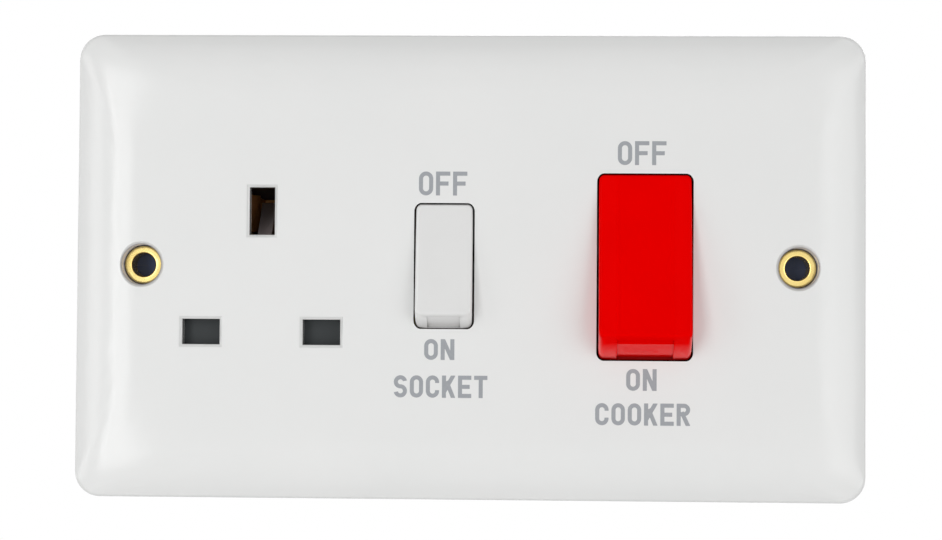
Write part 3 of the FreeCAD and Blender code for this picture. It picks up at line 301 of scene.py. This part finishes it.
# Urea moulding in white: a hard, cool white with a soft gloss; the grain is drawn coarser than it is, so that it shows
WHITE = moulding("urea_moulded_white", "#EBEBEA", "#E6E7E6", "#4A4542", cloud=24.0, grain=0.9, depth=0.002,
                 roughness=(0.18, 0.24))
# Painted shade in the counterbores round the eyelets
counterbore_shade(WHITE, "#BBBAC4")
# Painted shade on the walls of the slots, and a darker tone on their bevels
slot_darkening(WHITE, "#1A1615")
# The same moulding from another batch, a shade greyer
WHITE_ROCKER = moulding("urea_moulded_white_rocker", "#E6E6E5", "#E2E2E1", "#4A4542", cloud=7.0, grain=0.7,
                        depth=0.002, roughness=(0.20, 0.28), reach=2.2)
# Painted shade on the white rocker's end, where it goes down into the aperture
aperture_shade(WHITE_ROCKER, SOCKET_OUT, unmarked=-9.6, darkest=-7.4, shade="#6E6864", most=0.28)
# Urea moulding in red: a saturated signal red, dull on its face and glossy at its sides
RED = moulding("urea_moulded_red", "#F20000", "#E80000", "#2A0302", cloud=9.0, grain=0.8, depth=0.002,
               roughness=(0.14, 0.20), reach=2.2)
# Painted shade on the red rocker's ends, where they go down into the aperture; it also hides their gloss
rub(RED, aperture_shade(RED, COOKER_OUT, unmarked=-7.0, darkest=-5.9, shade="#2A0302", most=0.75))
# Phenolic moulding: a dark red-brown with paler filler specks and a dull skin
BASE = moulding("phenolic_moulded_brown", "#6E3C24", "#58301C", "#2E180E", cloud=1.2, grain=0.6, depth=0.012,
                roughness=(0.42, 0.60), ior=1.6)
# Nylon moulding in slate: the shutter, a satin grey that shows only as a dark ground in the slots
SLATE = moulding("nylon_moulded_slate", "#3E4243", "#373A3C", "#222526", cloud=5.0, grain=0.5, depth=0.006,
                 roughness=(0.40, 0.52), ior=1.3)
# Painted light on the shutter's ramp behind the earth slot
light_on_ramp(SLATE, "#8A7F7E")
# Natural nylon: milky and waxy
NATURAL = moulding("nylon_moulded_natural", "#E4DEC8", "#DAD2B8", "#7A7364", cloud=4.0, grain=0.5, depth=0.004,
                   roughness=(0.35, 0.45))
# Rubber: a dark blue with a matt bloom, for the discs that stand for the shade down in the eyelets' bores, where it
# looks nearly black
BORE_SHADE_RUBBER = moulding("rubber_blue_bore_shade", "#22366C", "#2A3E76", "#141E3C", cloud=1.5, grain=0.25, depth=0.01,
                  roughness=(0.55, 0.7))
# Ink: one thin coat of pad print, matt, with tiny gaps in its cover
INK = moulding("pad_print_grey", "#979A9F", "#A2A5A9", "#7A7C80", cloud=0.5, grain=0.3, depth=0.004,
               roughness=(0.45, 0.6))
# Rolled brass: bright yellow with faint brown stains and the lines of the rolls
BRASS = metal("brass_rolled_bright", "#FAE59A", "#EACB78", stain=2.5, line=0.12, depth=0.002,
              roughness=(0.16, 0.34), drawn=12.0)
# Hard rolled brass of the contacts: browned by age and redder than the eyelets
DULL_BRASS = metal("brass_rolled_browned", "#EDB978", "#C98A4E", stain=1.8, line=0.12, depth=0.002,
                   roughness=(0.30, 0.50), drawn=12.0, bare=0.35)
# Zinc-plated steel: blue-grey and cloudy
PLATED = metal("steel_zinc_plated", "#C9CCD0", "#A9ADB2", stain=1.6, line=0.2, depth=0.003,
               roughness=(0.25, 0.42), drawn=3.0)
# Drawn spring wire: a dark straw grey with lines along it
WIRE = metal("steel_spring_drawn", "#9C9A94", "#75726B", stain=0.8, line=0.08, depth=0.002,
             roughness=(0.25, 0.4), drawn=6.0)
# Silver alloy contacts: pale with a grey bloom
SILVER = metal("silver_alloy_pressed", "#E4E2DC", "#B9B6AE", stain=0.9, line=0.15, depth=0.003,
               roughness=(0.25, 0.45), drawn=1.0)

# --- the construction's pieces with their finish ---

# Points nearer than this are one point, in millimetres
SAME_POINT = 0.0005
# Least angles, in degrees, at which an edge is drawn sharp
SHARP = 32.0
PLATE_SHARP = 26.0


def stand(name, data):
    """A new object in the scene."""
    thing = bpy.data.objects.new(name, data)
    bpy.context.scene.collection.objects.link(thing)
    return thing


def dress(node, finish, sharp=SHARP):
    """A merged copy of a construction piece that shades smoothly up to its real edges; it stands for the piece."""
    source = frame["nodes"][node]
    mesh = source.data.copy()
    mesh.name = node + "_finished"
    work = bmesh.new()
    work.from_mesh(mesh)
    bmesh.ops.remove_doubles(work, verts=work.verts, dist=SAME_POINT * MM)
    bmesh.ops.dissolve_degenerate(work, edges=work.edges, dist=SAME_POINT * MM)
    work.to_mesh(mesh)
    work.free()
    mesh.shade_smooth()
    mesh.set_sharp_from_angle(angle=math.radians(sharp))
    mesh.materials.clear()
    mesh.materials.append(finish)
    piece = stand(node + "_finished", mesh)
    even = piece.modifiers.new("even_faces", "WEIGHTED_NORMAL")
    even.keep_sharp = True
    even.weight = 60
    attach(piece, source["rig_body"])
    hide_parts(node)
    return piece


def crisp_mouths(plate):
    """Draws the rims of the counterbores sharp, so that the face round them shades as one surface."""
    work = bmesh.new()
    work.from_mesh(plate.data)
    for edge in work.edges:
        inside = {all(math.hypot(abs(vert.co.x) - EYELET_X * MM, vert.co.z) < MOUTH_RADIUS * MM
                      for vert in face.verts) for face in edge.link_faces}
        if len(inside) == 2:
            edge.smooth = False
    work.to_mesh(plate.data)
    work.free()


FINISHES = (
    ("red_moulding", RED, ["cooker_rocker"]),
    ("base_moulding", BASE, ["rear_base"]),
    ("shutter_moulding", SLATE, ["shutter"]),
    ("plunger_moulding", NATURAL, ["socket_plunger", "cooker_line_plunger", "cooker_neutral_plunger"]),
    ("plated_steel", PLATED, ["base_screws", "earth_terminal_screws", "cooker_terminal_screws"]),
    ("spring_steel", WIRE, ["shutter_spring", "socket_plunger_spring", "cooker_line_plunger_spring",
                            "cooker_neutral_plunger_spring"]),
    ("silver_alloy", SILVER, ["socket_moving_tip", "cooker_line_moving_tip", "cooker_neutral_moving_tip",
                              "fixed_contact_tips"]),
    ("brass", DULL_BRASS, ["earth_contact", "neutral_contact", "line_contact", "socket_contact_arm",
                           "cooker_line_contact_arm", "cooker_neutral_contact_arm"]),
    ("brass", BRASS, ["fixing_eyelet_left", "fixing_eyelet_right", "earth_strap", "earth_terminal", "line_link",
                      "neutral_link", "socket_fulcrum", "cooker_line_fixed_contact",
                      "cooker_neutral_fixed_contact", "cooker_line_fulcrum", "cooker_neutral_fulcrum",
                      "supply_line_terminal", "supply_neutral_terminal", "load_line_terminal",
                      "load_neutral_terminal"]),
)
finished = {}
for slot, finish, nodes in FINISHES:
    for node in nodes:
        finished[node] = dress(node, finish)
crisp_mouths(dress("front_plate", WHITE, PLATE_SHARP))
dress("socket_rocker", WHITE_ROCKER)

# Each spring, its joint, the way towards its seat and the joint's travel in millimetres; each spring gets a mesh of
# its own
SPRINGS = (
    ("shutter_spring", "shutter_slide", Vector((0.0, 0.0, -1.0)), SHUTTER_TRAVEL),
    ("socket_plunger_spring", "socket_plunger_slide", SOCKET_OUT, PLUNGER_TRAVEL),
    ("cooker_line_plunger_spring", "cooker_line_plunger_slide", COOKER_OUT, PLUNGER_TRAVEL),
    ("cooker_neutral_plunger_spring", "cooker_neutral_plunger_slide", COOKER_OUT, PLUNGER_TRAVEL),
)
for node, joint, push, travel in SPRINGS:
    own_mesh(finished[node])

# --- pieces that are made here ---


def mesh_of(name, work, finish):
    """A mesh with its finish, made from work that is done and let go."""
    mesh = bpy.data.meshes.new(name)
    work.to_mesh(mesh)
    work.free()
    mesh.materials.append(finish)
    return mesh


def thicken(work, thick):
    """Gives a flat sheet a thickness to the front."""
    front = bmesh.ops.extrude_face_region(work, geom=work.faces[:])
    moved = [v for v in front["geom"] if isinstance(v, bmesh.types.BMVert)]
    bmesh.ops.translate(work, verts=moved, vec=(0, -thick, 0))


# --- printed words: a nib of the stroke's width is pushed straight or swung round a bend ---

# Sizes of the print in millimetres
PRINT_THICK = 0.035
PRINT_SUNK = 0.015
PRINT_LAYER = 0.003
NIB = 0.74
LETTER_GAP = 0.52
PRINT_SAME_POINT = 0.001
# Degrees of a bend that one flat takes up, and the fewest flats in a bend
BEND_STEP = 9
FEWEST_STEPS = 4
# Shapes of the letters: shares of the letter's height or width, and degrees
C_LIP = 0.04
S_LIFT = 12
MIDDLE_ARM_HIGH = 0.5
MIDDLE_ARM_WIDE = 0.88
K_ARM_HIGH = 0.42
K_LEG_WIDE = 0.45
K_LEG_HIGH = 0.58
R_BOWL = 0.56
R_LEG_WIDE = 0.5
R_LEG_HIGH = 0.45


def stroke(work, start, heading, moves, layer=0):
    """One stroke in the letter's own XZ cell, in millimetres. A move is a length, or a radius and a turn to the
    left. Strokes that cross lie on different layers, as coats of ink do."""
    ahead = Vector((math.cos(math.radians(heading)), 0, math.sin(math.radians(heading))))
    across = Vector((-ahead.z, 0, ahead.x))
    middle = Vector((start[0], -layer * PRINT_LAYER, start[1]))
    ends = [work.verts.new(middle + across * side * NIB / 2) for side in (-1, 1)]
    nib = work.edges.new(ends)
    for move in moves:
        if isinstance(move, tuple):
            radius, turn = move
            centre = middle + across * math.copysign(radius, turn)
            swing = Matrix.Rotation(math.radians(-turn), 3, "Y")
            swept = bmesh.ops.spin(work, geom=[nib] + list(nib.verts), cent=centre, axis=(0, -1, 0),
                                   angle=math.radians(turn), steps=max(FEWEST_STEPS, int(abs(turn) / BEND_STEP)))
            nib = [e for e in swept["geom_last"] if isinstance(e, bmesh.types.BMEdge)][0]
            middle = centre + swing @ (middle - centre)
            ahead = swing @ ahead
            across = swing @ across
        elif move > 0:
            pushed = bmesh.ops.extrude_edge_only(work, edges=[nib])
            nib = [e for e in pushed["geom"] if isinstance(e, bmesh.types.BMEdge)][0]
            bmesh.ops.translate(work, verts=list(nib.verts), vec=ahead * move)
            middle = middle + ahead * move


def slope(work, start, end, layer):
    """A sloping stroke that runs past both ends, to be cut off level with the letter."""
    run = Vector((end[0] - start[0], end[1] - start[1]))
    heading = math.degrees(math.atan2(run.y, run.x))
    step = run.normalized() * NIB
    stroke(work, (start[0] - step.x, start[1] - step.y), heading, [run.length + 2 * NIB], layer)


def draw_letter(work, letter, wide, high):
    """The strokes of one letter in a cell that is wide by high, cut off at the cell's sides."""
    half = NIB / 2
    round_end = (wide - NIB) / 2
    side = high - NIB - 2 * round_end
    if letter == "O":
        stroke(work, (half, high / 2), 90, [side / 2, (round_end, -180), side, (round_end, -180), side / 2])
    elif letter == "C":
        lip = C_LIP * high
        stroke(work, (wide - half, high / 2 + side / 2 - lip), 90,
               [lip, (round_end, 180), side, (round_end, 180), lip])
    elif letter == "S":
        bowl = (high - NIB) / 4
        lift = math.radians(S_LIFT)
        turn = 270 - S_LIFT
        start = (half + bowl + bowl * math.cos(lift), high - half - bowl + bowl * math.sin(lift))
        stroke(work, start, 90 + S_LIFT, [(bowl, turn), (bowl, -turn)])
        bmesh.ops.scale(work, verts=work.verts, vec=(wide / (2 * bowl + NIB), 1, 1))
    elif letter == "T":
        stroke(work, (wide / 2, 0), 90, [high])
        stroke(work, (0, high - half), 0, [wide], 1)
    else:
        stroke(work, (half, 0), 90, [high])
    if letter in "FE":
        stroke(work, (half, high - half), 0, [wide - half], 1)
        stroke(work, (half, high * MIDDLE_ARM_HIGH), 0, [wide * MIDDLE_ARM_WIDE - half], 1)
    if letter == "E":
        stroke(work, (half, half), 0, [wide - half], 1)
    elif letter == "N":
        stroke(work, (wide - half, 0), 90, [high])
        slope(work, (half, high), (wide - half, 0), 1)
    elif letter == "K":
        slope(work, (NIB, high * K_ARM_HIGH), (wide - half, high), 1)
        slope(work, (wide * K_LEG_WIDE, high * K_LEG_HIGH), (wide - half, 0), 2)
    elif letter == "R":
        bowl = (high * R_BOWL - NIB) / 2
        flat = wide - NIB - bowl
        stroke(work, (half, high - half), 0, [flat, (bowl, -180), flat], 1)
        slope(work, (wide * R_LEG_WIDE, high * R_LEG_HIGH), (wide - half, 0), 2)
    for point, outward in (((0, 0, 0), (-1, 0, 0)), ((wide, 0, 0), (1, 0, 0)), ((0, 0, 0), (0, 0, -1)),
                           ((0, 0, high), (0, 0, 1))):
        bmesh.ops.bisect_plane(work, geom=work.verts[:] + work.edges[:] + work.faces[:], plane_co=point,
                               plane_no=outward, clear_outer=True)


def print_word(name, word, left, right, low, top):
    """A word in grey print between the given left, right, low and top lines on the plate's face, in millimetres."""
    wide = (right - left - LETTER_GAP * (len(word) - 1)) / len(word)
    sheet = bpy.data.meshes.new(name)
    whole = bmesh.new()
    for place, letter in enumerate(word):
        work = bmesh.new()
        draw_letter(work, letter, wide, top - low)
        bmesh.ops.translate(work, verts=work.verts, vec=(left + place * (wide + LETTER_GAP), 0, low))
        work.to_mesh(sheet)
        work.free()
        whole.from_mesh(sheet)
    bpy.data.meshes.remove(sheet)
    bmesh.ops.translate(whole, verts=whole.verts, vec=(0, FACE_Y + PRINT_SUNK, 0))
    bmesh.ops.scale(whole, verts=whole.verts, vec=(MM, MM, MM))
    bmesh.ops.remove_doubles(whole, verts=whole.verts, dist=PRINT_SAME_POINT * MM)
    for face in whole.faces:
        face.normal_update()
        if face.normal.y > 0:
            face.normal_flip()
    thicken(whole, PRINT_THICK * MM)
    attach(stand(name, mesh_of(name, whole, INK)), "housing")


print_word("word_off_socket", "OFF", left=-9.13, right=-0.27, low=12.93, top=17.31)
print_word("word_on_socket", "ON", left=-7.93, right=-2.41, low=-17.19, top=-13.39)
print_word("word_socket", "SOCKET", left=-13.45, right=3.67, low=-24.10, top=-20.04)
print_word("word_off_cooker", "OFF", left=27.25, right=36.11, low=18.66, top=23.04)
print_word("word_on_cooker", "ON", left=28.97, right=34.50, low=-22.54, top=-18.57)
print_word("word_cooker", "COOKER", left=23.36, right=40.61, low=-28.85, top=-24.83)

# --- dark rubber discs with a fine cross slit in the eyelets' bores, put there to stand for the shade down in the bores ---

# Sizes of a disc in millimetres; SLIT is half of the slit's width
DISC_RADIUS = 2.19
DISC_REAR_Y = -0.5
DISC_THICK = 0.7
SLIT = 0.012
PETAL_STEPS = 12


def bore_shade_disc(name, x):
    """Four rubber petals with a fine cross slit between them: a dark disc that stands for the shade in a bore."""
    work = bmesh.new()
    ends = [work.verts.new((reach, DISC_REAR_Y, SLIT)) for reach in (SLIT, DISC_RADIUS)]
    rib = work.edges.new(ends)
    tilt = math.asin(SLIT / DISC_RADIUS)
    bmesh.ops.spin(work, geom=[rib] + ends, cent=(0, DISC_REAR_Y, 0), axis=(0, -1, 0),
                   angle=math.radians(90) - 2 * tilt, steps=PETAL_STEPS)
    thicken(work, DISC_THICK)
    bmesh.ops.spin(work, geom=work.verts[:] + work.edges[:] + work.faces[:], cent=(0, 0, 0), axis=(0, -1, 0),
                   angle=math.radians(270), steps=3, use_duplicate=True)
    bmesh.ops.translate(work, verts=work.verts, vec=(x, 0, 0))
    bmesh.ops.scale(work, verts=work.verts, vec=(MM, MM, MM))
    bmesh.ops.recalc_face_normals(work, faces=work.faces)
    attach(stand(name, mesh_of(name, work, BORE_SHADE_RUBBER)), "housing")


bore_shade_disc("bore_shade_disc_left", -EYELET_X)
bore_shade_disc("bore_shade_disc_right", EYELET_X)

# --- floor and room; places and sizes from here on are in metres ---

FLOOR_Z = -0.55
FLOOR_HALF = 1.2
BRUSH_MARK = 0.060
# Share of white light that the floor shows instead of its own shade
FLOOR_GLOW = 0.8
# Light of the room on the part, and the ground that the camera sees
ROOM_LIGHT = 0.285
GROUND_LIGHT = 1.0


def seen_share(tree):
    """One for what the camera sees, also in a reflection or through a clear piece, and nothing for other light."""
    path = add(tree, "ShaderNodeLightPath", {})
    seen = path.outputs["Is Camera Ray"]
    for ray in ("Is Glossy Ray", "Is Transmission Ray"):
        seen = add(tree, "ShaderNodeMath", {0: seen, 1: path.outputs[ray]}, operation="MAXIMUM").outputs[0]
    return seen


# Matt painted board: a pale floor that shows the camera a white ground and keeps a share of its shadow
BOARD = bpy.data.materials.new("board_painted_white")
tree = empty_tree(BOARD)
place = add(tree, "ShaderNodeTexCoord", {}).outputs["Object"]
brushed = add(tree, "ShaderNodeTexNoise", {"Vector": place, "Scale": 1 / BRUSH_MARK, "Detail": 3.0})
tint = add(tree, "ShaderNodeMix", {0: brushed.outputs["Fac"], 6: colour("#EEEEEE"), 7: colour("#E8E8E8")},
           data_type="RGBA")
paint = add(tree, "ShaderNodeBsdfDiffuse", {"Color": tint.outputs[2]})
white = add(tree, "ShaderNodeEmission", {"Strength": GROUND_LIGHT})
glow = add(tree, "ShaderNodeMath", {0: seen_share(tree), 1: FLOOR_GLOW}, operation="MULTIPLY")
both = add(tree, "ShaderNodeMixShader", {0: glow.outputs[0], 1: paint.outputs["BSDF"], 2: white.outputs["Emission"]})
add(tree, "ShaderNodeOutputMaterial", {"Surface": both.outputs["Shader"]})

work = bmesh.new()
bmesh.ops.create_grid(work, x_segments=8, y_segments=8, size=FLOOR_HALF)
bmesh.ops.translate(work, verts=work.verts, vec=(0, 0, FLOOR_Z))
stand("floor", mesh_of("floor", work, BOARD))

world = bpy.data.worlds.new("studio")
bpy.context.scene.world = world
tree = empty_tree(world)
room = add(tree, "ShaderNodeBackground", {"Color": colour("#FFFFFF"), "Strength": ROOM_LIGHT})
ground = add(tree, "ShaderNodeBackground", {"Color": colour("#FFFFFF"), "Strength": GROUND_LIGHT})
sky = add(tree, "ShaderNodeMixShader", {0: seen_share(tree), 1: room.outputs[0], 2: ground.outputs[0]})
add(tree, "ShaderNodeOutputWorld", {"Surface": sky.outputs["Shader"]})

# --- lamps and camera ---


def softbox(name, place, wide, high, power):
    """A rectangular soft light that faces the plate; power is in watts."""
    lamp = bpy.data.lights.new(name, "AREA")
    lamp.shape = "RECTANGLE"
    lamp.size = wide
    lamp.size_y = high
    lamp.energy = power
    light = stand(name, lamp)
    light.location = place
    light.rotation_euler = (-Vector(place)).to_track_quat("-Z", "Y").to_euler()


softbox("key_left", (-0.433, -0.797, 0.0), wide=0.20, high=0.90, power=1.55)
softbox("strip_left", (-0.575, -0.713, 0.0), wide=0.06, high=0.90, power=1.15)
softbox("side_left", (-0.429, -0.219, 0.0), wide=0.12, high=0.45, power=0.32)
softbox("near_right", (0.526, -0.747, 0.0), wide=0.20, high=0.90, power=0.8)
softbox("bank_right", (0.751, -0.545, 0.0), wide=0.47, high=0.90, power=2.2)
softbox("low_fill", (0.0, -0.42, -0.34), wide=0.90, high=0.40, power=0.34)
softbox("high_fill", (0.0, -0.45, 0.50), wide=0.90, high=0.40, power=0.42)
softbox("back_fill", (0.35, 0.90, 0.40), wide=0.90, high=0.60, power=2.6)

# The camera's place, its turns in radians, and its lens and sensor in millimetres
CAMERA_PLACE = (0.014868, -0.400, -0.012765)
YAW = -0.03665
PITCH = -0.03081
ROLL = 0.00722
LENS = 81.75
SENSOR_WIDE = 36.0
lens = bpy.data.cameras.new("camera")
lens.sensor_width = SENSOR_WIDE
lens.lens = LENS
camera = stand("camera", lens)
turns = Matrix.Rotation(-YAW, 4, "Z") @ Matrix.Rotation(-PITCH, 4, "X") @ Matrix.Rotation(-ROLL, 4, "Y")
camera.matrix_world = Matrix.Translation(CAMERA_PLACE) @ turns @ Matrix.Rotation(math.radians(90), 4, "X")
bpy.context.scene.camera = camera
bpy.context.scene.view_settings.view_transform = "Standard"
